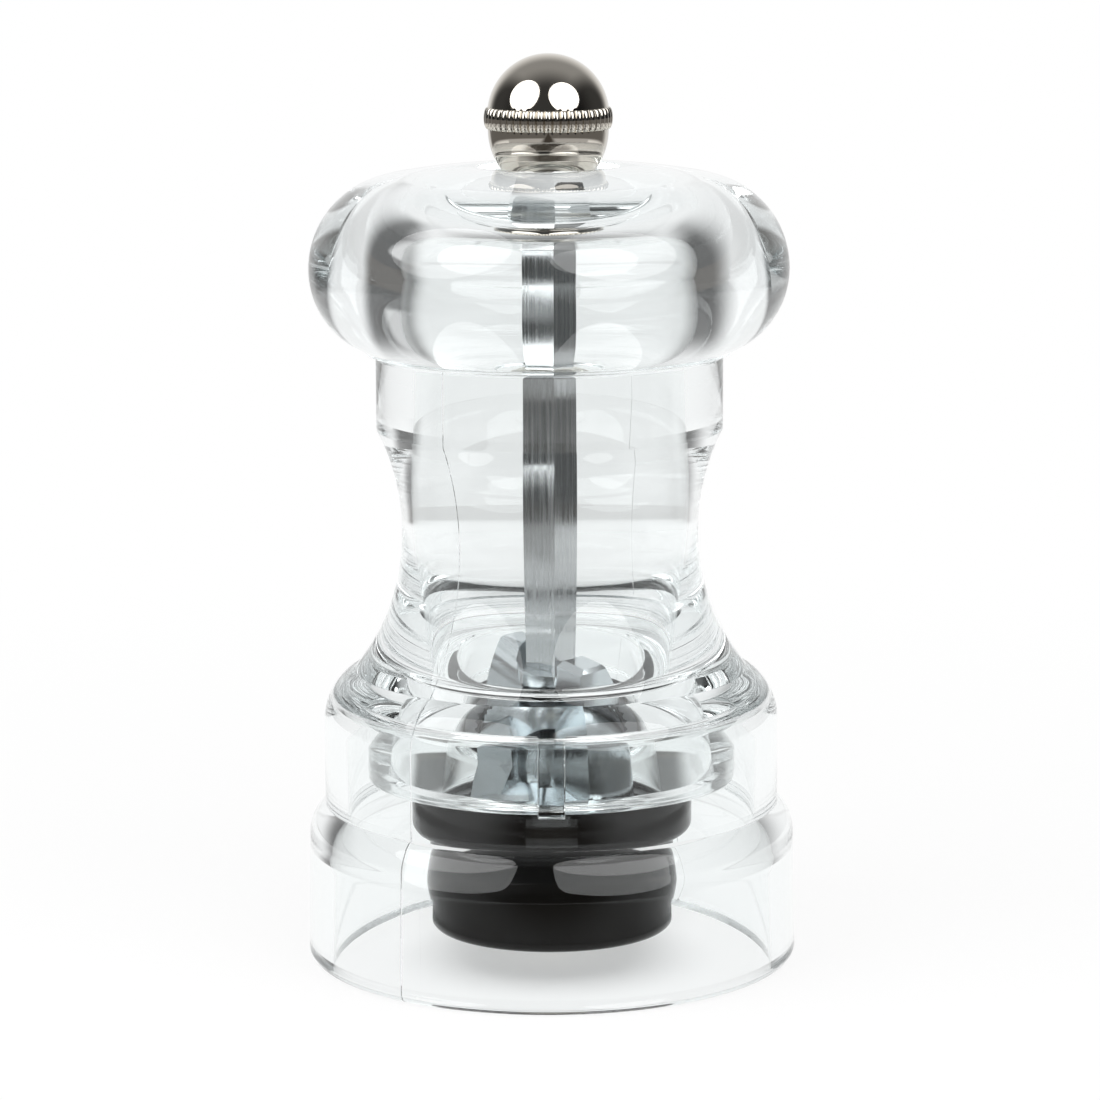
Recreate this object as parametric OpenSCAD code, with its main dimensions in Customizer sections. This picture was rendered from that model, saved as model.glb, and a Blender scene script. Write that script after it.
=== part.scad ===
// Clear acrylic pepper mill. Millimetres, +Z up, origin at the centre of the foot, front towards -Y.

/* [Body outside] */
// Height of the acrylic body from the table to its rim
body_h = 68.8; // [66:0.1:74]
// Radius of the skirt at the table
foot_r = 27.7; // [27.2:0.05:29]
// Rounding of the outer edge of the foot
foot_round = 1.2; // [0.4:0.1:2]
// Radius of the skirt where it starts to round in
skirt_r = 27.45; // [27:0.05:28.4]
// Height at which the skirt starts to round in
skirt_z = 14.3; // [12:0.1:16]
// Radius of the drum between skirt and shoulder
drum_r = 25.65; // [25.2:0.05:26.2]
// Height at which the skirt meets the drum
drum_z = 17.9; // [17:0.1:20]
// Height at which the drum starts to round into the shoulder
shoulder_z = 27.3; // [26:0.1:28.5]
// Radius of the sharp line between shoulder and flare
corner_r = 22.1; // [21.5:0.05:22.6]
// Height of that line
corner_z = 33.1; // [32.4:0.1:34]
// Smallest outer radius, at the waist
waist_r = 16.65; // [16.5:0.05:17.5]
// Height of the waist
waist_z = 48.7; // [46:0.1:51]
// Outer radius of the neck
neck_r = 19.4; // [19:0.05:20]
// Height at which the waist's curve meets the straight neck
neck_z = 60.4; // [58:0.1:63]
// Rounding of the rim of the neck
rim_round = 0.4; // [0.2:0.05:0.8]

/* [Body inside] */
// Radius of the pepper chamber
chamber_r = 15.4; // [15:0.05:15.6]
// Height of the chamber's floor
floor_z = 30.3; // [30:0.1:32]
// Fillet between chamber wall and floor
floor_fillet = 3; // [1.5:0.1:4]
// Radius of the throat at the chamber's floor
throat_r = 11.35; // [10.9:0.05:11.6]
// Rounding of the throat's upper edge
throat_round = 0.6; // [0.2:0.1:1]
// Radius of the throat at the collar's lower face
throat_foot_r = 12.2; // [11.8:0.05:12.3]
// Chamfer of the throat's lower edge
throat_chamfer = 0.45; // [0.2:0.05:0.6]
// Wall of the skirt
skirt_wall = 2.75; // [2.2:0.05:3]
// Wall of the drum
drum_wall = 2.6; // [2.2:0.05:3]
// Height at which the skirt's inside starts to round in
inner_step_z = 11.6; // [10.5:0.1:12.5]
// Height of that rounding
inner_step_h = 4.4; // [3:0.1:5]
// Height of the ceiling between collar and drum
ceiling_z = 29.4; // [28.8:0.1:29.6]
// Fillets between that ceiling and the walls
ceiling_fillet = 0.95; // [0.5:0.05:1]

/* [Collar] */
// Outer radius of the clear collar that holds the grinder
collar_r = 20.7; // [20.2:0.05:21.2]
// Length of the collar below the ceiling of the skirt
collar_h = 8.6; // [8.2:0.1:9]
// Rounding of the collar's outer lower edge
collar_round = 0.9; // [0.3:0.1:1.5]
// Width of the upright rib on the front of the collar
rib_w = 2.9; // [2:0.1:4]
// How far the rib stands out of the collar
rib_out = 1.5; // [0.8:0.1:1.8]
// Width of the key tab below the collar
key_w = 5.5; // [4:0.1:7]
// Thickness of the key tab
key_t = 2.6; // [2:0.1:3]

/* [Head] */
// Height of the head from its underside to its crown
head_h = 20.75; // [20.3:0.05:22]
// Largest radius of the head
bulge_r = 26.75; // [26:0.05:28]
// Height of the largest radius above the head's underside
bulge_up = 9.35; // [8.5:0.05:10]
// Radius of the head's flat underside
under_r = 20.6; // [20:0.05:21.5]
// Rounding of the underside's outer edge
under_round = 0.4; // [0.2:0.05:0.8]
// Radius at which the round side turns into the crown
crown_r = 18.2; // [17:0.05:19]
// How far that radius lies below the crown's top
crown_drop = 1.15; // [0.9:0.05:1.5]
// Radius of the recess that the knob stands in
recess_r = 7.9; // [7.2:0.05:8.6]
// Depth of that recess
recess_d = 1.4; // [1:0.05:2]
// Radius of the head's cavity at its open end
cavity_r = 16.2; // [15.6:0.05:17]
// Height of the cavity's straight wall
cavity_wall_h = 5; // [3:0.1:7]
// Radius of the cavity's flat ceiling
cavity_top_r = 12.3; // [11.5:0.05:13]
// Height of the cavity
cavity_h = 12.2; // [11:0.1:13.5]

/* [Knob] */
// Radius of the knob's ball
ball_r = 6.75; // [6.5:0.05:7]
// Height of the ball's centre above the knob's foot
ball_up = 6.9; // [6.6:0.1:7.6]
// Radius of the knob's foot
knob_foot_r = 4.6; // [4:0.05:5.4]
// Largest radius of the knurled ring
knurl_r = 7.15; // [7.05:0.05:7.4]
// Height of the knurled ring
knurl_h = 2.4; // [1.8:0.1:3]
// Depth of the knurled ring's grooves
knurl_depth = 0.32; // [0.2:0.02:0.4]
// Number of ridges round the ring
knurl_count = 48; // [36:1:60]
// Depth of the threaded hole in the knob
knob_bore_h = 8.6; // [8.4:0.1:10]

/* [Drive shaft] */
// Side of the square shaft
shaft_side = 4.3; // [4:0.05:4.6]
// Turn of the square at rest
shaft_turn = -35.8; // [-45:0.1:45]
// Radius of the shaft's threaded top
thread_r = 2; // [1.8:0.05:2.1]
// Length of the threaded top
thread_h = 8; // [6:0.1:8]
// Width of the clip's groove in the shaft
groove_w = 0.9; // [0.8:0.02:1.2]
// Radius of the shaft in the groove
groove_r = 1.8; // [1.6:0.05:1.9]

/* [Housing] */
// Radius of the housing's flange
flange_r = 15.9; // [15.7:0.05:16.1]
// Height of the flange
flange_h = 6.15; // [5.8:0.05:6.6]
// Rounding of the flange's lower edge
flange_round = 1.2; // [0.4:0.1:1.5]
// Radius of the housing's barrel
barrel_r = 13.85; // [13.7:0.05:14.2]
// Height of the barrel's lower end above the table
barrel_z = 3.6; // [3:0.1:4.6]
// Rounding of the barrel's lower edge
barrel_round = 1.2; // [0.4:0.1:1.5]
// Wall of the barrel beside the outer burr
barrel_wall = 1.45; // [1.2:0.05:1.6]
// Width of the ledge that the outer burr stands on
ledge_w = 0.9; // [0.6:0.05:1.1]
// How far the outer burr's top lies below the flange's top
burr_sink = 0.55; // [0.4:0.05:0.8]
// Depth of the keyway in the flange
keyway_d = 1.1; // [0.8:0.05:1.6]

/* [Burrs] */
// Number of fine teeth on each burr
tooth_count = 36; // [24:1:48]
// Side of the square cutter that leaves a tooth groove
tooth_cut = 0.7; // [0.4:0.05:0.9]
// Lean of the teeth
tooth_lean = 14; // [0:1:20]
// Radial gap between the burrs
grind_gap = 0.45; // [0.35:0.05:0.7]
// Height of the outer burr
outer_burr_h = 10.6; // [10:0.1:11]
// Height of the toothed cone in the outer burr
cone_h = 6.8; // [6:0.1:7.4]
// Inner radius of the outer burr at the top of the cone
cone_top_r = 9.9; // [9.7:0.05:10.1]
// Inner radius of the outer burr at the foot of the cone
cone_foot_r = 11.3; // [11:0.05:11.4]
// Number of lugs that keep the outer burr from turning
lug_count = 3; // [2:1:4]
// Width of a lug
lug_w = 3; // [2:0.1:4]
// How far a lug stands out of the outer burr
lug_out = 0.6; // [0.4:0.05:0.8]
// Height of a lug
lug_h = 3; // [2:0.1:4]
// Height of the inner burr
inner_burr_h = 17.2; // [16.5:0.1:18]
// Radius of the wings at their upper end
wing_r = 8.5; // [8:0.05:8.8]
// Number of wings that draw the pepper down
wing_count = 2; // [2:1:3]
// Turn of the wings at rest
wing_turn = -52; // [-90:1:90]
// Width of a wing at its tip
wing_tip_w = 3.5; // [2.5:0.1:4]
// How far each wing's upright face lies behind the line through the axis
wing_behind = 2.2; // [1.5:0.1:2.6]
// Slope of each wing's leading face
wing_lean = 28; // [15:1:32]
// Chamfer behind a wing's tip
tip_chamfer = 0.8; // [0.6:0.05:1]
// Chamfer of a wing's outer edge
rim_chamfer = 0.5; // [0.3:0.05:0.55]
// Radius of the inner burr's hub between the wings
hub_r = 4.2; // [4:0.1:4.6]
// How far the hub's top lies below the wings' tips
hub_drop = 2.7; // [2:0.1:3.5]
// Height of the sloping floor between hub and teeth
feed_h = 2.5; // [1:0.1:4]

/* [Spring, bush and bridge] */
// Wire of the spring
wire = 0.8; // [0.6:0.05:1]
// Outer radius of the spring
spring_r = 5.1; // [4.8:0.05:5.6]
// Number of turns of the spring
spring_turns = 3.5; // [3:0.5:4.5]
// Thickness of the washer over the spring
washer_t = 0.6; // [0.4:0.05:0.8]
// Outer radius of that washer
washer_r = 5.9; // [5.6:0.05:6.4]
// Thickness of the retaining clip
clip_t = 0.8; // [0.6:0.02:0.8]
// Outer radius of the retaining clip
clip_r = 4.6; // [4.2:0.05:5]
// Radius of the bush in the bridge
bush_r = 3.9; // [3.8:0.05:4.2]
// Radius of the bush's flange
bush_flange_r = 5.7; // [5.6:0.05:6]
// Thickness of the bush's flange
bush_flange_t = 0.9; // [0.6:0.05:1.2]
// Thickness of the bridge
bridge_t = 1.5; // [1.2:0.05:1.8]
// Width of the bridge
bridge_w = 6; // [5:0.1:7]
// Radius of the round middle of the bridge
bridge_hub_r = 6.2; // [5.8:0.1:6.6]
// Height of the bridge above the barrel's lower end
bridge_up = 1.6; // [1.3:0.1:2]
// How far the bush stands out below the bridge
bush_below = 0.8; // [0.5:0.1:1]
// Distance of each bridge screw from the axis
screw_at = 12.3; // [12.1:0.05:12.4]
// Radius of a screw's shank
screw_r = 0.7; // [0.5:0.05:0.8]
// Radius of a screw's head
screw_head_r = 1.3; // [1.1:0.05:1.4]
// Height of a screw's head
screw_head_h = 0.9; // [0.7:0.05:1.1]
// Length of a screw above its head
screw_h = 3.6; // [3:0.1:3.8]

/* [Fits] */
// Gap between the body's rim and the head
seam = 0.15; // [0.1:0.05:0.3]
// Radial running clearance of round pieces
run = 0.08; // [0.04:0.01:0.1]
// Clearance on each side of a square or keyed fit
slip = 0.12; // [0.06:0.01:0.2]
// Gap between faces that rest on each other
rest = 0.05; // [0.02:0.01:0.1]

/* [Hidden] */
$fn = 96;
arc_step = 6;                                   // degrees of a curve between two of its points
over = 1;                                       // how far a cutter passes the face that it cuts

collar_z = ceiling_z - collar_h;                // lower face of the collar
flange_top = collar_z - rest;                   // the housing is cemented up against that face
flange_z = flange_top - flange_h;
burr_bore_r = barrel_r - barrel_wall;           // bore of the housing round the outer burr
outer_burr_r = burr_bore_r - run;
outer_burr_z = flange_top - burr_sink - outer_burr_h;
discharge_r = burr_bore_r - ledge_w;            // open bottom of the housing
cone_top_z = outer_burr_z + outer_burr_h;
cone_foot_z = cone_top_z - cone_h;
cone_slope = (cone_foot_r - cone_top_r) / cone_h;
inner_burr_z = cone_foot_z + 0.6;
inner_foot_r = cone_foot_r - 0.6 * cone_slope - grind_gap;
inner_cone_r = cone_top_r - grind_gap;          // the inner burr's radius where its teeth end
inner_top_z = inner_burr_z + inner_burr_h;
clip_z = inner_burr_z - rest - clip_t;
washer_z = clip_z - rest - washer_t;
bridge_z = barrel_z + bridge_up;
bush_flange_z = bridge_z + bridge_t + rest;
spring_foot_z = bush_flange_z + bush_flange_t + rest;
spring_top_z = washer_z - rest;
shaft_foot_z = bridge_z + 0.6;
head_z = body_h + seam;
crown_z = head_z + head_h;
recess_z = crown_z - recess_d;
shaft_top_z = recess_z - 0.4;                   // the square ends below the recess's floor
knob_z = recess_z + 0.1;
ball_z = knob_z + ball_up;
knurl_z = ball_z - knurl_h / 2 - 0.35;

// Points of the arc that leaves p in direction dir and ends at q, without p.
function arc_to(p, dir, q) =
    let (chord = q - p,
         raw = atan2(chord.y, chord.x) - dir,
         turn = raw > 180 ? raw - 360 : raw < -180 ? raw + 360 : raw,
         n = max(1, ceil(abs(2 * turn) / arc_step)))
    abs(turn) < 0.5 ? [q]
    : let (radius = norm(chord) / (2 * sin(turn)))
      [for (i = [1:n])
          let (a = dir + 2 * turn * i / n)
          p + radius * [sin(a) - sin(dir), cos(dir) - cos(a)]];

// The same points from q back to p, without q, for a curve that arrives where its direction is known.
function arc_from(q, p, dir) =
    let (points = arc_to(p, dir, q), n = len(points))
    concat([for (i = [n - 2:-1:0]) points[i]], [p]);

module lathe(points) {
    rotate_extrude() polygon(points);
}

module ring(r, bore, h) {
    difference() {
        cylinder(r = r, h = h);
        translate([0, 0, -over]) cylinder(r = bore, h = h + 2 * over);
    }
}

module square_bar(side, h) {
    rotate(shaft_turn) translate([-side / 2, -side / 2, 0]) cube([side, side, h]);
}

// Body: outside from foot to rim, chamber and tapered throat, thick collar, and the inside of the skirt.
module body() {
    inner_skirt_r = skirt_r - skirt_wall;
    inner_drum_r = drum_r - drum_wall;
    outside = concat(
        [[inner_skirt_r, 0], [foot_r - foot_round, 0]],
        arc_to([foot_r - foot_round, 0], 0, [foot_r, foot_round]),
        [[skirt_r, skirt_z]],
        arc_to([skirt_r, skirt_z], 90, [drum_r, drum_z]),
        [[drum_r, shoulder_z]],
        arc_to([drum_r, shoulder_z], 90, [corner_r, corner_z]),
        arc_from([corner_r, corner_z], [waist_r, waist_z], -90),
        arc_to([waist_r, waist_z], 90, [neck_r, neck_z]),
        [[neck_r, body_h - rim_round]],
        arc_to([neck_r, body_h - rim_round], 90, [neck_r - rim_round, body_h]));
    chamber = concat(
        [[chamber_r, body_h], [chamber_r, floor_z + floor_fillet]],
        arc_to([chamber_r, floor_z + floor_fillet], -90, [chamber_r - floor_fillet, floor_z]),
        [[throat_r + throat_round, floor_z]],
        arc_to([throat_r + throat_round, floor_z], 180, [throat_r, floor_z - throat_round]));
    collar = concat(
        [[throat_foot_r, collar_z + throat_chamfer], [throat_foot_r + throat_chamfer, collar_z],
         [collar_r - collar_round, collar_z]],
        arc_to([collar_r - collar_round, collar_z], 0, [collar_r, collar_z + collar_round]),
        [[collar_r, ceiling_z - ceiling_fillet]],
        arc_to([collar_r, ceiling_z - ceiling_fillet], 90, [collar_r + ceiling_fillet, ceiling_z]));
    skirt = concat(
        [[inner_drum_r - ceiling_fillet, ceiling_z]],
        arc_to([inner_drum_r - ceiling_fillet, ceiling_z], 0, [inner_drum_r, ceiling_z - ceiling_fillet]),
        [[inner_drum_r, inner_step_z + inner_step_h]],
        arc_from([inner_drum_r, inner_step_z + inner_step_h], [inner_skirt_r, inner_step_z], 90));
    key_in_r = flange_r - keyway_d + 2 * slip;
    color("lightcyan", 0.4) {
        lathe(concat(outside, chamber, collar, skirt));
        // upright rib on the front of the collar
        translate([-rib_w / 2, -collar_r - rib_out, collar_z])
            cube([rib_w, rib_out + 0.5, ceiling_z - collar_z]);
        // key tab that hangs from the collar into the housing's keyway
        difference() {
            translate([-key_w / 2, -key_in_r - key_t, flange_z])
                cube([key_w, key_t, collar_z - flange_z + 0.5]);
            translate([0, 0, flange_z - over]) cylinder(r = key_in_r - slip, h = flange_h + 2 * over);
        }
    }
}

// Head: round side, crown with the knob's recess, domed cavity and the square hole for the shaft.
module head() {
    widest = [bulge_r, head_z + bulge_up];
    crown_edge = [crown_r, crown_z - crown_drop];
    side_end = 2 * atan2(crown_edge.y - widest.y, crown_edge.x - widest.x) - 90;
    under_edge = [under_r, head_z + under_round];
    cavity_top = [cavity_top_r, head_z + cavity_h];
    cavity_wall = [cavity_r, head_z + cavity_wall_h];
    outline = concat(
        [[cavity_r, head_z], [under_r - under_round, head_z]],
        arc_to([under_r - under_round, head_z], 0, under_edge),
        arc_from(under_edge, widest, -90),
        arc_to(widest, 90, crown_edge),
        arc_to(crown_edge, side_end, [recess_r, crown_z]),
        [[recess_r, recess_z], [0, recess_z], [0, cavity_top.y], cavity_top],
        arc_from(cavity_top, cavity_wall, 90));
    color("lightcyan", 0.4)
        difference() {
            lathe(outline);
            translate([0, 0, cavity_top.y - over])
                square_bar(shaft_side + 2 * slip, recess_z - cavity_top.y + 2 * over);
        }
}

// Knob: ball on a narrowing foot, with a bead whose grooves give grip, and a blind threaded hole.
module knob() {
    ring_z = knurl_z + knurl_h / 2;
    bead_r = ball_r - 0.1;
    ball_from = asin((knurl_z + knurl_h - ball_z) / ball_r);
    pitch = 360 / knurl_count;
    color("silver")
        difference() {
            union() {
                lathe(concat(
                    [[0, knob_z], [knob_foot_r, knob_z]],
                    arc_from([knob_foot_r, knob_z], [ball_r - 0.05, knurl_z], -90),
                    [for (a = [ball_from:arc_step:89]) [ball_r * cos(a), ball_z + ball_r * sin(a)]],
                    [[0, ball_z + ball_r]]));
                intersection() {
                    lathe(concat(
                        [[ball_r - 1, knurl_z], [bead_r, knurl_z]],
                        [for (a = [-60:20:60]) [knurl_r - 0.4 + 0.4 * cos(a), ring_z + knurl_h / 2 * sin(a)]],
                        [[bead_r, knurl_z + knurl_h], [ball_r - 1, knurl_z + knurl_h]]));
                    translate([0, 0, knurl_z - over])
                        linear_extrude(knurl_h + 2 * over)
                            polygon([for (i = [0:knurl_count - 1], side = [-1, 0, 1])
                                let (a = (i + side * 0.36) * pitch,
                                     r = side == 0 ? knurl_r - knurl_depth : knurl_r + 0.05)
                                r * [cos(a), sin(a)]]);
                }
            }
            translate([0, 0, knob_z - over]) cylinder(r = thread_r + run, h = knob_bore_h + over);
        }
}

// Drive shaft: square bar, turned down to the thread at its top and grooved for the clip near its foot.
module drive_shaft() {
    color("gainsboro")
        difference() {
            union() {
                translate([0, 0, shaft_foot_z]) square_bar(shaft_side, shaft_top_z - shaft_foot_z);
                translate([0, 0, shaft_top_z]) cylinder(r = thread_r, h = thread_h - thread_r / 4);
                translate([0, 0, shaft_top_z + thread_h - thread_r / 4])
                    cylinder(r1 = thread_r, r2 = thread_r * 3 / 4, h = thread_r / 4);
            }
            translate([0, 0, clip_z - (groove_w - clip_t) / 2]) ring(shaft_side, groove_r, groove_w);
        }
}

// Housing: barrel and flange in one moulding, bored for the outer burr, with keyway and lug slots.
module mechanism_housing() {
    outline = concat(
        [[discharge_r, barrel_z], [barrel_r - barrel_round, barrel_z]],
        arc_to([barrel_r - barrel_round, barrel_z], 0, [barrel_r, barrel_z + barrel_round]),
        [[barrel_r, flange_z], [flange_r - flange_round, flange_z]],
        arc_to([flange_r - flange_round, flange_z], 0, [flange_r, flange_z + flange_round]),
        [[flange_r, flange_top], [burr_bore_r, flange_top], [burr_bore_r, outer_burr_z - rest],
         [discharge_r, outer_burr_z - rest]]);
    notch_w = bridge_w + 2 * slip;
    color([0.1, 0.1, 0.11])
        difference() {
            lathe(outline);
            // keyway for the body's tab
            translate([-key_w / 2 - slip, -flange_r - over, flange_z - over])
                cube([key_w + 2 * slip, keyway_d + over, flange_h + 2 * over]);
            // slots for the outer burr's lugs
            for (i = [0:lug_count - 1])
                rotate(90 + i * 360 / lug_count)
                    translate([burr_bore_r - over, -lug_w / 2 - slip, cone_top_z - lug_h - rest])
                        cube([over + lug_out + slip, lug_w + 2 * slip, lug_h + burr_sink + over + rest]);
            // notch that the bridge lies in, and its screws' holes
            translate([-barrel_r - over, -notch_w / 2, barrel_z - over])
                cube([2 * (barrel_r + over), notch_w, over + bridge_up + bridge_t + rest]);
            for (side = [-1, 1])
                translate([side * screw_at, 0, barrel_z])
                    cylinder(r = screw_r + run / 2, h = bridge_up + screw_h + 0.4);
        }
}

// A ring of square cutters laid along a cone, which leaves one tooth between each two of them.
module tooth_grooves(foot_r, top_r, foot_z, top_z) {
    slope = atan2(foot_r - top_r, top_z - foot_z);
    for (i = [0:tooth_count - 1])
        rotate(i * 360 / tooth_count)
            translate([(foot_r + top_r) / 2, 0, (foot_z + top_z) / 2])
                rotate([tooth_lean, -slope, 0]) rotate(45)
                    translate([-tooth_cut / 2, -tooth_cut / 2, (foot_z - top_z) / 2 - over])
                        cube([tooth_cut, tooth_cut, top_z - foot_z + 2 * over]);
}

// Outer burr: ring with a toothed cone that narrows upwards, and lugs that key it in the housing.
module outer_burr() {
    color("dimgray")
        difference() {
            union() {
                translate([0, 0, outer_burr_z]) cylinder(r = outer_burr_r, h = outer_burr_h);
                for (i = [0:lug_count - 1])
                    rotate(90 + i * 360 / lug_count)
                        translate([outer_burr_r - over, -lug_w / 2, cone_top_z - lug_h])
                            cube([over + lug_out, lug_w, lug_h]);
            }
            lathe([[0, outer_burr_z - over], [cone_foot_r, outer_burr_z - over], [cone_foot_r, cone_foot_z],
                   [cone_top_r, cone_top_z], [cone_top_r, cone_top_z + over], [0, cone_top_z + over]]);
            tooth_grooves(cone_foot_r, cone_top_r, cone_foot_z, cone_top_z);
        }
}

// Inner burr: toothed cone, a floor that slopes down to its teeth, and wings that draw the pepper in.
module inner_burr() {
    wings_z = cone_top_z - 0.6;
    hub_top = inner_top_z - hub_drop;
    root = 0.3;                                 // how deep the wings' feet lie in the cone
    tip_front = wing_tip_w - wing_behind;
    foot_front = tip_front + (inner_top_z - wings_z + root) * tan(wing_lean);
    wing = [[-wing_behind, wings_z - root], [foot_front, wings_z - root], [tip_front, inner_top_z],
            [tip_chamfer - wing_behind, inner_top_z], [-wing_behind, inner_top_z - tip_chamfer]];
    color("darkgray")
        difference() {
            union() {
                lathe([[0, inner_burr_z], [inner_foot_r, inner_burr_z], [inner_cone_r + 0.6 * cone_slope, wings_z],
                       [hub_r, wings_z + feed_h], [hub_r, hub_top + over], [0, hub_top + over]]);
                intersection() {
                    lathe([[0, wings_z - over], [inner_cone_r - 0.1, wings_z - over],
                           [wing_r, inner_top_z - rim_chamfer], [wing_r - rim_chamfer, inner_top_z],
                           [0, inner_top_z]]);
                    for (i = [0:wing_count - 1])
                        rotate(wing_turn + i * 360 / wing_count)
                            rotate([90, 0, 90]) linear_extrude(inner_foot_r) polygon(wing);
                }
            }
            tooth_grooves(inner_foot_r, inner_cone_r, inner_burr_z, cone_top_z);
            // pocket round the shaft, down to the hub's top
            translate([0, 0, hub_top]) cylinder(r = hub_r + 0.3, h = hub_drop + over);
            translate([0, 0, inner_burr_z - over]) square_bar(shaft_side + slip, inner_burr_h + 2 * over);
        }
}

// Clip: open ring pushed into the shaft's groove from the side.
module retaining_clip() {
    color("gray")
        translate([0, 0, clip_z])
            linear_extrude(clip_t)
                difference() {
                    circle(clip_r);
                    circle(groove_r + rest);
                    rotate(shaft_turn) translate([0, -groove_r * 0.8]) square([clip_r + over, groove_r * 1.6]);
                }
}

// Washer between clip and spring.
module spring_washer() {
    color("gray") translate([0, 0, washer_z]) ring(washer_r, shaft_side * 0.7072 + run, washer_t);
}

// Spring: a wire of eight sides swept along a helix.
module burr_spring() {
    sides = 8;
    steps = 24 * spring_turns;
    coil_r = spring_r - wire / 2;
    rise = spring_top_z - spring_foot_z - wire;
    points = [for (i = [0:steps], k = [0:sides - 1])
        let (t = i / steps, a = 360 * spring_turns * t, b = 360 * k / sides,
             r = coil_r + wire / 2 * cos(b))
        [r * cos(a), r * sin(a), spring_foot_z + wire / 2 + rise * t + wire / 2 * sin(b)]];
    sides_of_wire = [for (i = [0:steps - 1], k = [0:sides - 1])
        let (a = i * sides + k, b = i * sides + (k + 1) % sides)
        each [[a, a + sides, b], [b, a + sides, b + sides]]];
    ends = [[for (k = [0:sides - 1]) k], [for (k = [sides - 1:-1:0]) steps * sides + k]];
    color("lightgray") polyhedron(points, concat(sides_of_wire, ends));
}

// Bush: flanged sleeve that turns in the bridge, square inside so that it turns with the shaft.
module shaft_bush() {
    foot_z = bridge_z - bush_below;
    color("ivory")
        difference() {
            union() {
                translate([0, 0, foot_z]) cylinder(r = bush_r, h = bush_flange_z - foot_z);
                translate([0, 0, bush_flange_z]) cylinder(r = bush_flange_r, h = bush_flange_t);
            }
            translate([0, 0, foot_z - over])
                square_bar(shaft_side + 2 * run, bush_flange_z + bush_flange_t - foot_z + 2 * over);
        }
}

// Bridge: steel bar with a round middle, bored for the bush.
module bridge() {
    length = 2 * (barrel_r - 0.3);
    color("silver")
        translate([0, 0, bridge_z])
            linear_extrude(bridge_t)
                difference() {
                    union() {
                        circle(bridge_hub_r);
                        intersection() {
                            translate([-length / 2, -bridge_w / 2]) square([length, bridge_w]);
                            circle(length / 2);
                        }
                    }
                    circle(bush_r + run);
                    for (side = [-1, 1]) translate([side * screw_at, 0]) circle(screw_r + run);
                }
}

// Screws: slotted heads below the bridge, shanks up into the housing.
module bridge_screws() {
    color("silver")
        for (side = [-1, 1])
            translate([side * screw_at, 0, bridge_z - rest - screw_head_h])
                difference() {
                    union() {
                        cylinder(r = screw_head_r, h = screw_head_h);
                        cylinder(r = screw_r, h = screw_head_h + rest + screw_h);
                    }
                    translate([-screw_head_r - over, -0.15, -over])
                        cube([2 * (screw_head_r + over), 0.3, over + screw_head_h / 2]);
                }
}

knob();
head();
body();
drive_shaft();
mechanism_housing();
outer_burr();
inner_burr();
retaining_clip();
spring_washer();
burr_spring();
shaft_bush();
bridge();
bridge_screws();
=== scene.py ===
import math
import bmesh
import bpy
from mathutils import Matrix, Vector


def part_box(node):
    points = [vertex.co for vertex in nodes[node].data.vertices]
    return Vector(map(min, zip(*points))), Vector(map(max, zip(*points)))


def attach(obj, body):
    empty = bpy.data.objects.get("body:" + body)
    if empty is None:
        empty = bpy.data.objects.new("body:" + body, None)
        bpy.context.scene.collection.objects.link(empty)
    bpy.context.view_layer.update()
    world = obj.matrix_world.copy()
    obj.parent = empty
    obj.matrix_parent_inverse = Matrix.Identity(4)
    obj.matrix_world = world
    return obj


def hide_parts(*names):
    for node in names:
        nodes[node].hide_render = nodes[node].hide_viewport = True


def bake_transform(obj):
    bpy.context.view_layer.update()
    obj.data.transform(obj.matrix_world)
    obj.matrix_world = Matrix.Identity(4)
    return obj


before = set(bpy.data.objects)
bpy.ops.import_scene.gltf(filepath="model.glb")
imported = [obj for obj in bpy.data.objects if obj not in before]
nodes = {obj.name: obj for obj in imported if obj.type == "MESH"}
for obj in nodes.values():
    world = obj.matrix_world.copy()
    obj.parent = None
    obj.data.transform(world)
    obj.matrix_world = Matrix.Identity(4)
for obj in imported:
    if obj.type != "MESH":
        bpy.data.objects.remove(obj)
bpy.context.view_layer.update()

# ---------------------------------------------------------------------------------------------
# The body is one injection moulding of clear acrylic, polished by its mould: hourglass outside,
# straight chamber inside, and below the chamber's floor a hollow skirt round a solid collar that
# holds the grinder. It is thick and hard, so light bends and mirrors inside its walls.
mm = 0.001
FOOT_R = 27.7
SKIRT = (27.45, 14.3)
DRUM = (25.65, 17.9)
SHOULDER_Z = 27.3
CORNER = (22.1, 33.1)
WAIST = (16.65, 48.7)
NECK = (19.4, 60.4)
RIM_Z = 68.8
CHAMBER_R = 15.4
FLOOR_Z = 30.3
THROAT_R = 11.35
THROAT_FOOT_R = 12.2
CEILING_Z = 29.4
COLLAR_R = 20.7
COLLAR_Z = 20.8
INNER_SKIRT = (24.7, 11.6)
INNER_DRUM = (23.05, 16.0)
GROOVE_FILLET = 0.95
CHAMBER_FILLET = 3
THROAT_EDGE = 0.6
CORNER_EASE = 0.2
RIB_HALF = 1.45
RIB_Y = (-22.2, -20.2)
TAB_R = (14.92, 17.64)
TAB_FOOT_Z = 14.6
TAB_HALF = 2.75
SEAMS = (233.4, 53.4)
SEAM_HALF = 0.16
SEAM_RISE = 0.05


def arc_to(p, heading, q, step=1.5):
    """Points after p of the arc that leaves p at heading degrees and ends at q."""
    dx, dy = q[0] - p[0], q[1] - p[1]
    turn = math.degrees(math.atan2(dy, dx)) - heading
    turn = (turn + 180) % 360 - 180
    if abs(turn) < 0.5:
        return [q]
    radius = math.hypot(dx, dy) / (2 * math.sin(math.radians(turn)))
    count = max(1, math.ceil(abs(2 * turn) / step))
    start = math.radians(heading)
    made = []
    for i in range(1, count + 1):
        a = start + math.radians(2 * turn * i / count)
        made.append((p[0] + radius * (math.sin(a) - math.sin(start)),
                     p[1] + radius * (math.cos(start) - math.cos(a))))
    return made


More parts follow.
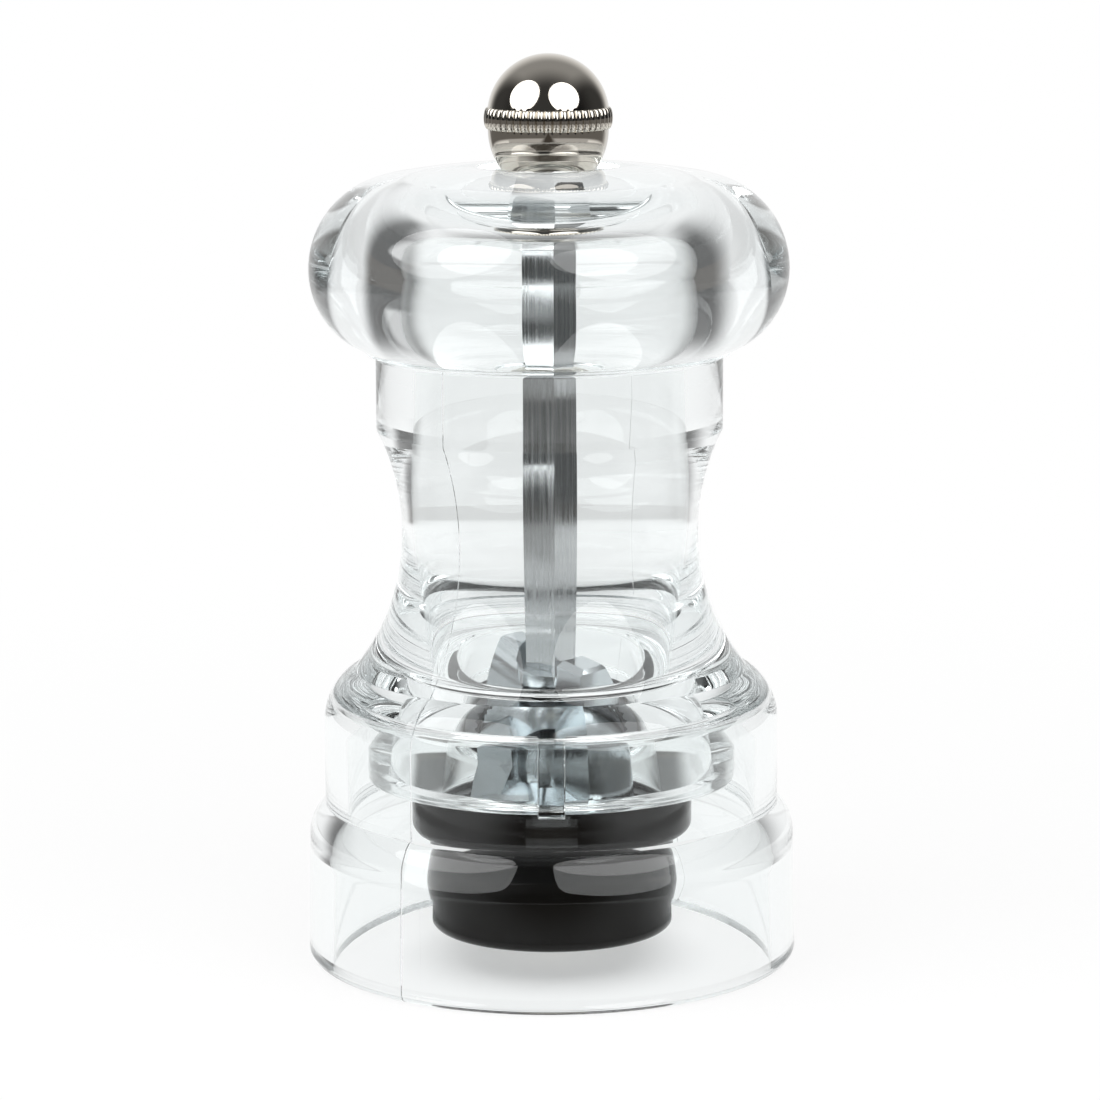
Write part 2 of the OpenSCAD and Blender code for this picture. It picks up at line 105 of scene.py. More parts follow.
def arc_from(q, p, heading, step=1.5):
    """The same points from q back to p, without q."""
    return arc_to(p, heading, q, step)[-2::-1] + [p]


def ease(outline, radius, sharpest=20):
    """A closed outline with every corner sharper than that rounded, as in any moulding."""
    made = []
    for i, b in enumerate(outline):
        a, c = outline[i - 1], outline[(i + 1) % len(outline)]
        into = (b[0] - a[0], b[1] - a[1])
        out = (c[0] - b[0], c[1] - b[1])
        la, lc = math.hypot(*into), math.hypot(*out)
        bend = math.degrees(math.atan2(into[0] * out[1] - into[1] * out[0],
                                       into[0] * out[0] + into[1] * out[1]))
        if abs(bend) < sharpest or b[0] < 1e-6:
            made.append(b)
            continue
        cut = min(radius * math.tan(math.radians(abs(bend)) / 2), 0.45 * la, 0.45 * lc)
        p = (b[0] - into[0] / la * cut, b[1] - into[1] / la * cut)
        q = (b[0] + out[0] / lc * cut, b[1] + out[1] / lc * cut)
        made.append(p)
        made.extend(arc_to(p, math.degrees(math.atan2(into[1], into[0])), q, 12))
    return made


def turned(name, outline, around=240, wobble=None, seams=()):
    """A solid of revolution from a closed outline in mm, anticlockwise in r and z."""
    built = bmesh.new()
    rings = []
    angles = [2 * math.pi * k / around for k in range(around)]
    for seam in seams:
        angles += [math.radians(seam + side) for side in (-SEAM_HALF, 0, SEAM_HALF)]
    angles.sort()
    around = len(angles)
    for r, z in outline:
        if r < 1e-6:
            rings.append([built.verts.new((0, 0, z * mm))] * around)
            continue
        ring = []
        for a in angles:
            s = (r + (wobble(r, z, a) if wobble else 0)) * mm
            ring.append(built.verts.new((s * math.cos(a), s * math.sin(a), z * mm)))
        rings.append(ring)
    for i, ring in enumerate(rings):
        above = rings[(i + 1) % len(rings)]
        if ring[0] is ring[1] and above[0] is above[1]:
            continue
        for k in range(around):
            n = (k + 1) % around
            corners = [ring[k], ring[n], above[n], above[k]]
            if ring[0] is ring[1]:
                corners = [ring[k], above[n], above[k]]
            elif above[0] is above[1]:
                corners = [ring[k], ring[n], above[k]]
            built.faces.new(corners)
    mesh = bpy.data.meshes.new(name)
    built.to_mesh(mesh)
    built.free()
    piece = bpy.data.objects.new(name, mesh)
    bpy.context.scene.collection.objects.link(piece)
    return piece


def block(name, low_corner, high_corner, turn=0.0, bevel=0.0):
    """A box between two corners in mm, turned about the mill's axis."""
    built = bmesh.new()
    bmesh.ops.create_cube(built, size=1)
    for v in built.verts:
        at = [low_corner[i] + (v.co[i] + 0.5) * (high_corner[i] - low_corner[i]) for i in range(3)]
        c, s = math.cos(turn), math.sin(turn)
        v.co = Vector((at[0] * c - at[1] * s, at[0] * s + at[1] * c, at[2])) * mm
    if bevel:
        bmesh.ops.bevel(built, geom=built.edges[:], offset=bevel * mm, segments=3, profile=0.5,
                        affect="EDGES")
    mesh = bpy.data.meshes.new(name)
    built.to_mesh(mesh)
    built.free()
    piece = bpy.data.objects.new(name, mesh)
    bpy.context.scene.collection.objects.link(piece)
    return piece


def carve(piece, tool, how):
    """Joins a tool to a piece, or cuts it out of it, and throws the tool away."""
    cut = piece.modifiers.new("carve", "BOOLEAN")
    cut.operation, cut.solver, cut.object = how, "EXACT", tool
    bpy.context.view_layer.update()
    mesh = bpy.data.meshes.new_from_object(
        piece.evaluated_get(bpy.context.evaluated_depsgraph_get()))
    piece.modifiers.clear()
    piece.data = mesh
    mesh.name = piece.name
    bpy.data.objects.remove(tool)


def smooth(piece, corner=28):
    """Shades a piece smooth, apart from edges sharper than that many degrees."""
    for face in piece.data.polygons:
        face.use_smooth = True
    piece.data.set_sharp_from_angle(angle=math.radians(corner))


def paint(text, alpha=1.0):
    """The linear colour of an sRGB hex code."""
    parts = [int(text[i:i + 2], 16) / 255 for i in (1, 3, 5)]
    return tuple(c / 12.92 if c <= 0.04045 else ((c + 0.055) / 1.055) ** 2.4
                 for c in parts) + (alpha,)


def add(tree, kind, sockets=None, **settings):
    """One node with its settings; a socket gets a value, or a link from another node's output."""
    made = tree.nodes.new(kind)
    for name, value in settings.items():
        setattr(made, name, value)
    for name, value in (sockets or {}).items():
        if isinstance(value, bpy.types.NodeSocket):
            tree.links.new(value, made.inputs[name])
        else:
            made.inputs[name].default_value = value
    return made


def new_material(name):
    """An empty material, its node tree and its output."""
    made = bpy.data.materials.new(name)
    made.use_nodes = True
    made.node_tree.nodes.clear()
    return made, made.node_tree


def acrylic(name):
    """Acrylic polished by its mould: clear as water, with slow waves that bend what lies behind."""
    made, tree = new_material(name)
    place = add(tree, "ShaderNodeTexCoord").outputs["Object"]
    flow = add(tree, "ShaderNodeTexNoise", {"Vector": place, "Scale": 1000 / 14, "Detail": 1.0})
    waves = add(tree, "ShaderNodeBump", {"Height": flow.outputs["Fac"], "Strength": 0.04,
                                         "Distance": 0.06 * mm})
    shader = add(tree, "ShaderNodeBsdfPrincipled", {
        "Base Color": paint("#fbfdfd"), "Roughness": 0.0, "IOR": 1.49,
        "Transmission Weight": 1.0, "Normal": waves.outputs["Normal"]})
    tint = add(tree, "ShaderNodeVolumeAbsorption", {"Color": paint("#eef5f6"), "Density": 6.0})
    add(tree, "ShaderNodeOutputMaterial", {"Surface": shader.outputs[0], "Volume": tint.outputs[0]})
    return made


outside = (
    [(INNER_SKIRT[0], 0), (FOOT_R - 1.2, 0)]
    + arc_to((FOOT_R - 1.2, 0), 0, (FOOT_R, 1.2), 6)
    + [SKIRT] + arc_to(SKIRT, 90, DRUM)
    + [(DRUM[0], SHOULDER_Z)] + arc_to((DRUM[0], SHOULDER_Z), 90, CORNER)
    + arc_from(CORNER, WAIST, -90) + arc_to(WAIST, 90, NECK)
    + [(NECK[0], RIM_Z - 0.4)] + arc_to((NECK[0], RIM_Z - 0.4), 90, (NECK[0] - 0.4, RIM_Z), 12))
chamber = (
    [(CHAMBER_R, RIM_Z), (CHAMBER_R, FLOOR_Z + CHAMBER_FILLET)]
    + arc_to((CHAMBER_R, FLOOR_Z + CHAMBER_FILLET), -90, (CHAMBER_R - CHAMBER_FILLET, FLOOR_Z), 3)
    + [(THROAT_R + THROAT_EDGE, FLOOR_Z)]
    + arc_to((THROAT_R + THROAT_EDGE, FLOOR_Z), 180, (THROAT_R, FLOOR_Z - THROAT_EDGE), 9))
collar = (
    [(THROAT_FOOT_R, COLLAR_Z + 0.45), (THROAT_FOOT_R + 0.45, COLLAR_Z), (COLLAR_R - 0.9, COLLAR_Z)]
    + arc_to((COLLAR_R - 0.9, COLLAR_Z), 0, (COLLAR_R, COLLAR_Z + 0.9), 6)
    + [(COLLAR_R, CEILING_Z - GROOVE_FILLET)]
    + arc_to((COLLAR_R, CEILING_Z - GROOVE_FILLET), 90, (COLLAR_R + GROOVE_FILLET, CEILING_Z), 6))
skirt = (
    [(INNER_DRUM[0] - GROOVE_FILLET, CEILING_Z)]
    + arc_to((INNER_DRUM[0] - GROOVE_FILLET, CEILING_Z), 0, (INNER_DRUM[0],
                                                             CEILING_Z - GROOVE_FILLET), 6)
    + [INNER_DRUM] + arc_from(INNER_DRUM, INNER_SKIRT, 90))


def parting_line(r, z, a):
    """The hair-thin ridge where the two halves of the mould met, on the outside only."""
    outer = r > (INNER_SKIRT[0] + 0.1 if z < FLOOR_Z else CHAMBER_R + 0.6)
    near = min(abs(math.degrees(a) - seam) for seam in SEAMS) < SEAM_HALF / 2
    return SEAM_RISE if outer and near else 0.0


clear_body = turned("clear_body", ease(outside + chamber + collar + skirt, CORNER_EASE),
                    wobble=parting_line,
                    seams=SEAMS)
carve(clear_body, block("rib", (-RIB_HALF, RIB_Y[0], COLLAR_Z),
                        (RIB_HALF, RIB_Y[1], CEILING_Z + 0.5), bevel=0.25), "UNION")
tab = turned("tab", ease([(TAB_R[0], TAB_FOOT_Z), (TAB_R[1], TAB_FOOT_Z), (TAB_R[1],
                                                                           COLLAR_Z + 0.5),
                          (TAB_R[0], COLLAR_Z + 0.5)], CORNER_EASE))
carve(tab, block("sector", (-TAB_HALF, -19, 10), (TAB_HALF, -10, 24)), "INTERSECT")
carve(clear_body, tab, "UNION")
smooth(clear_body)
clear_body.data.materials.append(acrylic("mould_polished_acrylic_body"))
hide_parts("body")
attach(clear_body, "base")

# ---------------------------------------------------------------------------------------------
# The housing is a black plastic moulding with a glossy skin, pushed up into the collar. Handling
# and ground pepper leave fine scratches and a little dust on it.


def black_plastic():
    """Black moulding straight from a polished mould: deep black, with soft lamp patches on it."""
    made, tree = new_material("glossy_black_moulding")
    place = add(tree, "ShaderNodeTexCoord").outputs["Object"]
    stretch = add(tree, "ShaderNodeMapping", {"Vector": place, "Scale": (1.0, 1.0, 9.0)})
    rub = add(tree, "ShaderNodeTexNoise", {"Vector": stretch.outputs[0], "Scale": 1000 / 6,
                                           "Detail": 5.0})
    gloss = add(tree, "ShaderNodeMapRange", {"Value": rub.outputs["Fac"], "From Min": 0.3,
                                             "From Max": 0.7,
                                             "To Min": 0.1, "To Max": 0.2})
    skin = add(tree, "ShaderNodeBump", {"Height": rub.outputs["Fac"], "Strength": 0.15,
                                        "Distance": 0.02 * mm})
    shader = add(tree, "ShaderNodeBsdfPrincipled", {
        "Base Color": paint("#040505"), "Roughness": gloss.outputs[0], "IOR": 1.5,
        "Specular IOR Level": 0.22, "Normal": skin.outputs[0]})
    add(tree, "ShaderNodeOutputMaterial", {"Surface": shader.outputs[0]})
    return made


def coat(node, material):
    nodes[node].data.materials.clear()
    nodes[node].data.materials.append(material)


coat("mechanism_housing", black_plastic())

# ---------------------------------------------------------------------------------------------
# The burrs are cut metal: a dark hardened ring pressed into the housing, and a pale grey rotor
# with two leaning wings that sits on the square of the shaft and turns with it.


def cut_metal(name, colour, rough):
    """Steel milled into teeth: broken, grainy glints where each cut ends."""
    made, tree = new_material(name)
    place = add(tree, "ShaderNodeTexCoord").outputs["Object"]
    grain = add(tree, "ShaderNodeTexNoise", {"Vector": place, "Scale": 1000 / 0.35, "Detail": 3.0})
    cloud = add(tree, "ShaderNodeTexNoise", {"Vector": place, "Scale": 1000 / 5, "Detail": 2.0})
    spread = add(tree, "ShaderNodeMapRange", {"Value": cloud.outputs["Fac"], "From Min": 0.3,
                                              "From Max": 0.7,
                                              "To Min": rough - 0.06, "To Max": rough + 0.06})
    pits = add(tree, "ShaderNodeBump", {"Height": grain.outputs["Fac"], "Strength": 0.35,
                                        "Distance": 0.03 * mm})
    shader = add(tree, "ShaderNodeBsdfPrincipled", {
        "Base Color": paint(colour), "Metallic": 1.0, "Roughness": spread.outputs[0],
        "Normal": pits.outputs[0]})
    add(tree, "ShaderNodeOutputMaterial", {"Surface": shader.outputs[0]})
    return made


coat("outer_burr", cut_metal("hardened_steel_burr", "#76777a", 0.42))
coat("inner_burr", cut_metal("pale_cut_metal_burr", "#c9cfd2", 0.16))

# ---------------------------------------------------------------------------------------------
# Below the burr, a steel clip in the shaft's groove presses a washer on the spring, and the spring
# stands on a nylon bush that turns in a zinc-plated steel bridge with two screws. The spring is
# wound from wire, from its foot on the bush up to its top under the washer.
WIRE = 0.8
SPRING_R = 5.1
SPRING_TURNS = 3.5


def plated_steel(name, colour, rough):
    """Drawn or pressed steel with a thin bright coat: a cool sheen, cloudy from place to place."""
    made, tree = new_material(name)
    place = add(tree, "ShaderNodeTexCoord").outputs["Object"]
    spangle = add(tree, "ShaderNodeTexNoise", {"Vector": place, "Scale": 1000 / 1.5, "Detail": 2.0})
    spread = add(tree, "ShaderNodeMapRange", {"Value": spangle.outputs["Fac"], "From Min": 0.3,
                                              "From Max": 0.7,
                                              "To Min": rough - 0.05, "To Max": rough + 0.08})
    shader = add(tree, "ShaderNodeBsdfPrincipled", {
        "Base Color": paint(colour), "Metallic": 1.0, "Roughness": spread.outputs[0]})
    add(tree, "ShaderNodeOutputMaterial", {"Surface": shader.outputs[0]})
    return made


spring_steel = plated_steel("drawn_spring_steel", "#a3a4a6", 0.28)
zinc = plated_steel("zinc_plated_steel", "#c3c5c6", 0.34)
coat("retaining_clip", spring_steel)
coat("spring_washer", zinc)
coat("bridge", zinc)
coat("bridge_screws", zinc)

spring_foot, spring_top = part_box("burr_spring")
built = bmesh.new()
rings = []
steps = round(96 * SPRING_TURNS)
for i in range(steps + 1):
    a = 2 * math.pi * SPRING_TURNS * i / steps
    middle = spring_foot[2] / mm + WIRE / 2 + (spring_top[2] / mm - spring_foot[2] / mm - WIRE) * i / steps
    ring = []
    for k in range(12):
        b = 2 * math.pi * k / 12
        r = (SPRING_R - WIRE / 2 + WIRE / 2 * math.cos(b)) * mm
        ring.append(built.verts.new((r * math.cos(a), r * math.sin(a),
                                     (middle + WIRE / 2 * math.sin(b)) * mm)))
    rings.append(ring)
for ring, after in zip(rings, rings[1:]):
    for k in range(12):
        n = (k + 1) % 12
        built.faces.new((ring[k], after[k], after[n], ring[n]))
built.faces.new(rings[0])
built.faces.new(rings[-1][::-1])
bmesh.ops.recalc_face_normals(built, faces=built.faces)
mesh = bpy.data.meshes.new("wound_spring")
built.to_mesh(mesh)
built.free()
wound_spring = bpy.data.objects.new("wound_spring", mesh)
bpy.context.scene.collection.objects.link(wound_spring)
smooth(wound_spring, 40)
wound_spring.data.materials.append(spring_steel)
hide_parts("burr_spring")
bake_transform(wound_spring)


def nylon():
    """Nylon in its natural colour, as moulded: creamy and satin, with no sharp reflections."""
    made, tree = new_material("moulded_natural_nylon")
    place = add(tree, "ShaderNodeTexCoord").outputs["Object"]
    mottle = add(tree, "ShaderNodeTexNoise", {"Vector": place, "Scale": 1000 / 2, "Detail": 2.0})
    spread = add(tree, "ShaderNodeMapRange", {"Value": mottle.outputs["Fac"], "From Min": 0.3,
                                              "From Max": 0.7,
                                              "To Min": 0.4, "To Max": 0.52})
    shader = add(tree, "ShaderNodeBsdfPrincipled", {
        "Base Color": paint("#e9e4d6"), "Roughness": spread.outputs[0], "IOR": 1.53})
    add(tree, "ShaderNodeOutputMaterial", {"Surface": shader.outputs[0]})
    return made


coat("shaft_bush", nylon())

# ---------------------------------------------------------------------------------------------
# The shaft is a square bar of drawn aluminium, turned down and threaded at its top. Drawing it
# through the die leaves fine streaks along its length, which smear reflections sideways.


def drawn_aluminium():
    """A bar pulled through a die: bright flat faces with fine streaks along their length."""
    made, tree = new_material("drawn_aluminium_bar")
    place = add(tree, "ShaderNodeTexCoord").outputs["Object"]
    along = add(tree, "ShaderNodeMapping", {"Vector": place, "Scale": (1.0, 1.0, 0.02)})
    streaks = add(tree, "ShaderNodeTexNoise", {"Vector": along.outputs[0], "Scale": 1000 / 0.3,
                                               "Detail": 4.0})
    spread = add(tree, "ShaderNodeMapRange", {"Value": streaks.outputs["Fac"], "From Min": 0.35,
                                              "From Max": 0.65,
                                              "To Min": 0.1, "To Max": 0.26})
    shade = add(tree, "ShaderNodeMapRange", {"Value": streaks.outputs["Fac"], "From Min": 0.35,
                                             "From Max": 0.65,
                                             "To Min": 0.78, "To Max": 1.0})
    tone = add(tree, "ShaderNodeMix", {"Factor": shade.outputs[0], "A": paint("#8f9294"),
                                       "B": paint("#c9cbcc")},
               data_type="RGBA")
    scores = add(tree, "ShaderNodeBump", {"Height": streaks.outputs["Fac"], "Strength": 0.25,
                                          "Distance": 0.02 * mm})
    shader = add(tree, "ShaderNodeBsdfPrincipled", {
        "Base Color": tone.outputs["Result"], "Metallic": 1.0, "Roughness": spread.outputs[0],
        "Normal": scores.outputs[0]})
    add(tree, "ShaderNodeOutputMaterial", {"Surface": shader.outputs[0]})
    return made


coat("drive_shaft", drawn_aluminium())

# ---------------------------------------------------------------------------------------------
# The head is a second clear moulding: a rounded disc with a domed hollow below, a shallow recess
# for the knob on top and a square hole that grips the shaft, so that turning it turns the burr.
HEAD_Z = 68.95
CROWN_Z = 89.7
RECESS_Z = 88.3
RECESS_R = 7.9
SHAFT_SIDE = 4.3
SHAFT_GAP = 0.12
SHAFT_TURN = -35.8
widest = (26.75, HEAD_Z + 9.35)
crown_edge = (18.2, CROWN_Z - 1.15)
side_end = 2 * math.degrees(math.atan2(crown_edge[1] - widest[1], crown_edge[0] - widest[0])) - 90
under_edge = (20.6, HEAD_Z + 0.4)
cavity_top = (12.4, HEAD_Z + 12.8)
cavity_wall = (16.5, HEAD_Z + 9)
outline = (
    [(16.5, HEAD_Z), (20.2, HEAD_Z)] + arc_to((20.2, HEAD_Z), 0, under_edge, 12)
    + arc_from(under_edge, widest, -90) + arc_to(widest, 90, crown_edge)
    + arc_to(crown_edge, side_end, (RECESS_R, CROWN_Z))
    + [(RECESS_R, RECESS_Z), (0, RECESS_Z), (0, cavity_top[1]), cavity_top]
    + arc_from(cavity_top, cavity_wall, 85))
clear_head = turned("clear_head", ease(outline, CORNER_EASE))
half = SHAFT_SIDE / 2 + SHAFT_GAP
carve(clear_head, block("square_hole", (-half, -half, cavity_top[1] - 1), (half, half,
                                                                           RECESS_Z + 1),
                        turn=math.radians(SHAFT_TURN)), "DIFFERENCE")
smooth(clear_head)
clear_head.data.materials.append(acrylic("mould_polished_acrylic_head"))
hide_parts("head")
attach(clear_head, "head")

# ---------------------------------------------------------------------------------------------
# The knob is turned from brass and plated with bright nickel: a ball on a narrowing foot, with a
# knurled bead that gives the fingers a grip. The plating mirrors the room a little warmly.
KNOB_Z = 88.4
BALL_Z = 95.3
BALL_R = 6.75
BEAD_Z = BALL_Z - 1.55
BORE_R = 2.08
BORE_DEEP = 8.6
RIDGES = 48
start = math.degrees(math.asin((BEAD_Z + 2.4 - BALL_Z) / BALL_R))
ball = [(BALL_R * math.cos(math.radians(a)), BALL_Z + BALL_R * math.sin(math.radians(a)))
        for a in [start + (90 - start) * i / 60 for i in range(60)]]
bead = [(7.15 - 0.4 + 0.4 * math.cos(math.radians(a)),
         BEAD_Z + 1.2 + 1.2 * math.sin(math.radians(a)))
        for a in range(-75, 76, 10)]


def knurl(r, z, a):
    """How far the bead's grooves cut in between the rounded ridges round the ring."""
    depth = min(1.0, max(0.0, (r - 6.68) / 0.2)) if abs(z - BEAD_Z - 1.2) < 1.25 else 0.0
    return -0.32 * depth * (1 - abs(math.cos(RIDGES / 2 * a)) ** 0.6)


shape = ([(BORE_R, KNOB_Z), (4.6, KNOB_Z)] + arc_from((4.6, KNOB_Z), (BALL_R - 0.05, BEAD_Z), -90)
         + [(BALL_R - 0.05, BEAD_Z + 0.02)] + bead + ball + [(0, BALL_Z + BALL_R),
                                                             (0, KNOB_Z + BORE_DEEP),
                                                             (BORE_R, KNOB_Z + BORE_DEEP)])
plated_knob = turned("plated_knob", shape, around=480, wobble=knurl)
smooth(plated_knob, 40)


def nickel():
    """Nickel plate over polished brass: a sharp mirror, a touch warm, faintly hazed by handling."""
    made, tree = new_material("bright_nickel_plate")
    place = add(tree, "ShaderNodeTexCoord").outputs["Object"]
    haze = add(tree, "ShaderNodeTexNoise", {"Vector": place, "Scale": 1000 / 3, "Detail": 4.0})
    spread = add(tree, "ShaderNodeMapRange", {"Value": haze.outputs["Fac"], "From Min": 0.4,
                                              "From Max": 0.8,
                                              "To Min": 0.03, "To Max": 0.09})
    shader = add(tree, "ShaderNodeBsdfPrincipled", {
        "Base Color": paint("#d6d0c6"), "Metallic": 1.0, "Roughness": spread.outputs[0]})
    add(tree, "ShaderNodeOutputMaterial", {"Surface": shader.outputs[0]})
    return made


plated_knob.data.materials.append(nickel())
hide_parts("knob")
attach(plated_knob, "knob")

# ---------------------------------------------------------------------------------------------
# The studio: a white sheet that sweeps up behind a white table, dark walls beside and before it,
# a window on the left, two round softboxes in front above, and the camera. Clear pieces show the
# room behind them; the plated knob stands above the table and mirrors the darker upper room.
world = bpy.data.worlds.new("studio")
bpy.context.scene.world = world
world.use_nodes = True
tree = world.node_tree
tree.nodes.clear()
ray = add(tree, "ShaderNodeLightPath").outputs
way = add(tree, "ShaderNodeTexCoord").outputs["Generated"]
xyz = add(tree, "ShaderNodeSeparateXYZ", {0: way}).outputs


def width_of_sheet(tree, x, y):
    """The share of white seen at an azimuth: the sheet ends further out on the right."""
    azimuth = add(tree, "ShaderNodeMath", {0: x, 1: y}, operation="ARCTAN2").outputs[0]
    left = add(tree, "ShaderNodeMapRange", {"Value": azimuth, "From Min": -0.72, "From Max": -0.4},
               interpolation_type="SMOOTHSTEP")
    right = add(tree, "ShaderNodeMapRange", {"Value": azimuth, "From Min": 0.4, "From Max": 1.0,
                                             "To Min": 1.0, "To Max": 0.0},
                interpolation_type="SMOOTHSTEP")
    return add(tree, "ShaderNodeMath", {0: left.outputs[0], 1: right.outputs[0]},
               operation="MULTIPLY").outputs[0]


sweep = add(tree, "ShaderNodeMapRange", {"Value": xyz["Z"], "From Min": 0.45, "From Max": 0.95,
                                         "To Min": 1.0, "To Max": 0.0},
                                         interpolation_type="SMOOTHSTEP")
backdrop = add(tree, "ShaderNodeMath", {0: width_of_sheet(tree, xyz["X"], xyz["Y"]),
                                        1: sweep.outputs[0]},
               operation="MULTIPLY")
rise = add(tree, "ShaderNodeMapRange", {"Value": xyz["Z"], "From Min": 0.3, "From Max": 0.6,
                                        "To Min": 0.13, "To Max": 0.8},
                                        interpolation_type="SMOOTHSTEP")
ceiling = add(tree, "ShaderNodeMapRange", {"Value": xyz["Z"], "From Min": 0.6, "From Max": 0.97,
                                           "To Min": 1.0, "To Max": 0.3},
                                           interpolation_type="SMOOTHSTEP")
walls = add(tree, "ShaderNodeMath", {0: rise.outputs[0], 1: ceiling.outputs[0]},
            operation="MULTIPLY")
pane = add(tree, "ShaderNodeMapRange", {"Value": xyz["X"], "From Min": -0.75, "From Max": -0.85,
                                        "To Min": 0.0, "To Max": 0.6},
                                        interpolation_type="SMOOTHSTEP")
sill = add(tree, "ShaderNodeMapRange", {"Value": xyz["Z"], "From Min": 0.08, "From Max": 0.14},
           interpolation_type="SMOOTHSTEP")
window = add(tree, "ShaderNodeMath", {0: pane.outputs[0], 1: sill.outputs[0]}, operation="MULTIPLY")
sides = add(tree, "ShaderNodeMath", {0: walls.outputs[0], 1: window.outputs[0]},
            operation="MAXIMUM")
behind = add(tree, "ShaderNodeMapRange", {"Value": xyz["Y"], "From Min": -0.25, "From Max": -0.6,
                                          "To Min": 1.0, "To Max": 0.08},
                                          interpolation_type="SMOOTHSTEP")
walls = add(tree, "ShaderNodeMath", {0: sides.outputs[0], 1: behind.outputs[0]},
            operation="MULTIPLY")
through = add(tree, "ShaderNodeMix", {"Factor": backdrop.outputs[0], "A": walls.outputs[0],
                                      "B": 0.95},
              data_type="FLOAT")

fade = add(tree, "ShaderNodeMapRange", {"Value": xyz["Y"], "From Min": -0.6, "From Max": 0.3,
                                        "To Min": 0.05, "To Max": 0.35},
                                        interpolation_type="SMOOTHSTEP")
facing = add(tree, "ShaderNodeMapRange", {"Value": xyz["Y"], "From Min": 0.5, "From Max": 1.05,
                                          "To Min": 1.0, "To Max": 2.8},
                                          interpolation_type="SMOOTHSTEP")
upper = add(tree, "ShaderNodeMath", {0: fade.outputs[0], 1: facing.outputs[0]},
            operation="MULTIPLY")
aside = add(tree, "ShaderNodeMath", {0: xyz["X"]}, operation="ABSOLUTE")
narrow = add(tree, "ShaderNodeMapRange", {"Value": aside.outputs[0], "From Min": 0.5,
                                          "From Max": 0.85,
                                          "To Min": 1.0, "To Max": 0.15},
                                          interpolation_type="SMOOTHSTEP")
mirrored = add(tree, "ShaderNodeMath", {0: upper.outputs[0], 1: narrow.outputs[0]},
               operation="MULTIPLY")

room = add(tree, "ShaderNodeMix", {"Factor": ray["Is Transmission Ray"], "A": mirrored.outputs[0],
                                   "B": through.outputs["Result"]}, data_type="FLOAT")
room = add(tree, "ShaderNodeMix", {"Factor": ray["Is Camera Ray"], "A": room.outputs["Result"],
                                   "B": 1.0},
           data_type="FLOAT")
clean = add(tree, "ShaderNodeMath", {0: ray["Is Glossy Ray"], 1: ray["Is Transmission Ray"]},
            operation="ADD", use_clamp=True)
clean = add(tree, "ShaderNodeMath", {0: clean.outputs[0], 1: ray["Is Camera Ray"]}, operation="ADD",
            use_clamp=True)
strength = add(tree, "ShaderNodeMix", {"Factor": clean.outputs[0], "A": 0.5,
                                       "B": room.outputs["Result"]},
               data_type="FLOAT")
light = add(tree, "ShaderNodeBackground", {"Color": (1.0, 1.0, 1.0, 1.0),
                                           "Strength": strength.outputs["Result"]})
add(tree, "ShaderNodeOutputWorld", {"Surface": light.outputs[0]})

# The table is a plain matt white sheet. Straight on it is plain white with the mill's own shadow;
# in the clear pieces and the plating, parts of it are painted a flat dark colour: a painted dark strip
# just in front of the mill, the painted dark room past the sheet's sides, and painted shade where it folds
# up.
TABLE_R = 3.0
TABLE_DROP = 0.00005
bpy.ops.mesh.primitive_circle_add(vertices=64, radius=TABLE_R, fill_type="NGON",
                                  location=(0, 0, -TABLE_DROP))
table = bpy.context.object
table.name = "table_top"
table_sheet, tree = new_material("white_table_sheet_with_painted_dark")
ray = add(tree, "ShaderNodeLightPath").outputs
place = add(tree, "ShaderNodeNewGeometry").outputs["Position"]
xyz = add(tree, "ShaderNodeSeparateXYZ", {0: place}).outputs
far = add(tree, "ShaderNodeVectorMath", {0: place}, operation="LENGTH").outputs["Value"]
aside = add(tree, "ShaderNodeMath", {0: xyz["X"]}, operation="ABSOLUTE")
under = add(tree, "ShaderNodeMapRange", {"Value": far, "From Min": 0.008, "From Max": 0.02,
                                         "To Min": 0.55, "To Max": 1.0},
                                         interpolation_type="SMOOTHSTEP")
near = add(tree, "ShaderNodeMapRange", {"Value": far, "From Min": 0.03, "From Max": 0.25,
                                        "To Min": 0.88, "To Max": 1.0},
                                        interpolation_type="SMOOTHSTEP")
lit = add(tree, "ShaderNodeMath", {0: under.outputs[0], 1: near.outputs[0]}, operation="MULTIPLY")
# Painted shade in mirror and refracted rays: from 3 to 5 cm in front of the mill onward the table gets a
# flat dark colour, half as strong out to the sides; in refracted rays it weakens again beyond about 20 cm.
before = add(tree, "ShaderNodeMapRange", {"Value": xyz["Y"], "From Min": -0.03, "From Max": -0.05},
             interpolation_type="SMOOTHSTEP")
middle = add(tree, "ShaderNodeMapRange", {"Value": aside.outputs[0], "From Min": 0.03,
                                          "From Max": 0.09,
                                          "To Min": 1.0, "To Max": 0.5},
                                          interpolation_type="SMOOTHSTEP")
front = add(tree, "ShaderNodeMath", {0: before.outputs[0], 1: middle.outputs[0]},
            operation="MULTIPLY")
edge = add(tree, "ShaderNodeMapRange", {"Value": xyz["Y"], "From Min": -0.19, "From Max": -0.22,
                                        "To Min": 1.0, "To Max": 0.3},
                                        interpolation_type="SMOOTHSTEP")
strip = add(tree, "ShaderNodeMath", {0: front.outputs[0], 1: edge.outputs[0]}, operation="MULTIPLY")
front = add(tree, "ShaderNodeMix", {"Factor": ray["Is Transmission Ray"], "A": front.outputs[0],
                                    "B": strip.outputs[0]}, data_type="FLOAT")
# Painted dark room: past the sheet's sides, from 0.33 to 0.45 m out, the table gets the flat dark colour
# too.
bare = add(tree, "ShaderNodeMath", {0: 1.0, 1: width_of_sheet(tree, xyz["X"], xyz["Y"])},
           operation="SUBTRACT")
limit = add(tree, "ShaderNodeMapRange", {"Value": far, "From Min": 0.33, "From Max": 0.45,
                                         "To Min": 0.0, "To Max": 0.9},
                                         interpolation_type="SMOOTHSTEP")
beyond = add(tree, "ShaderNodeMath", {0: limit.outputs[0], 1: bare.outputs[0]},
             operation="MULTIPLY")
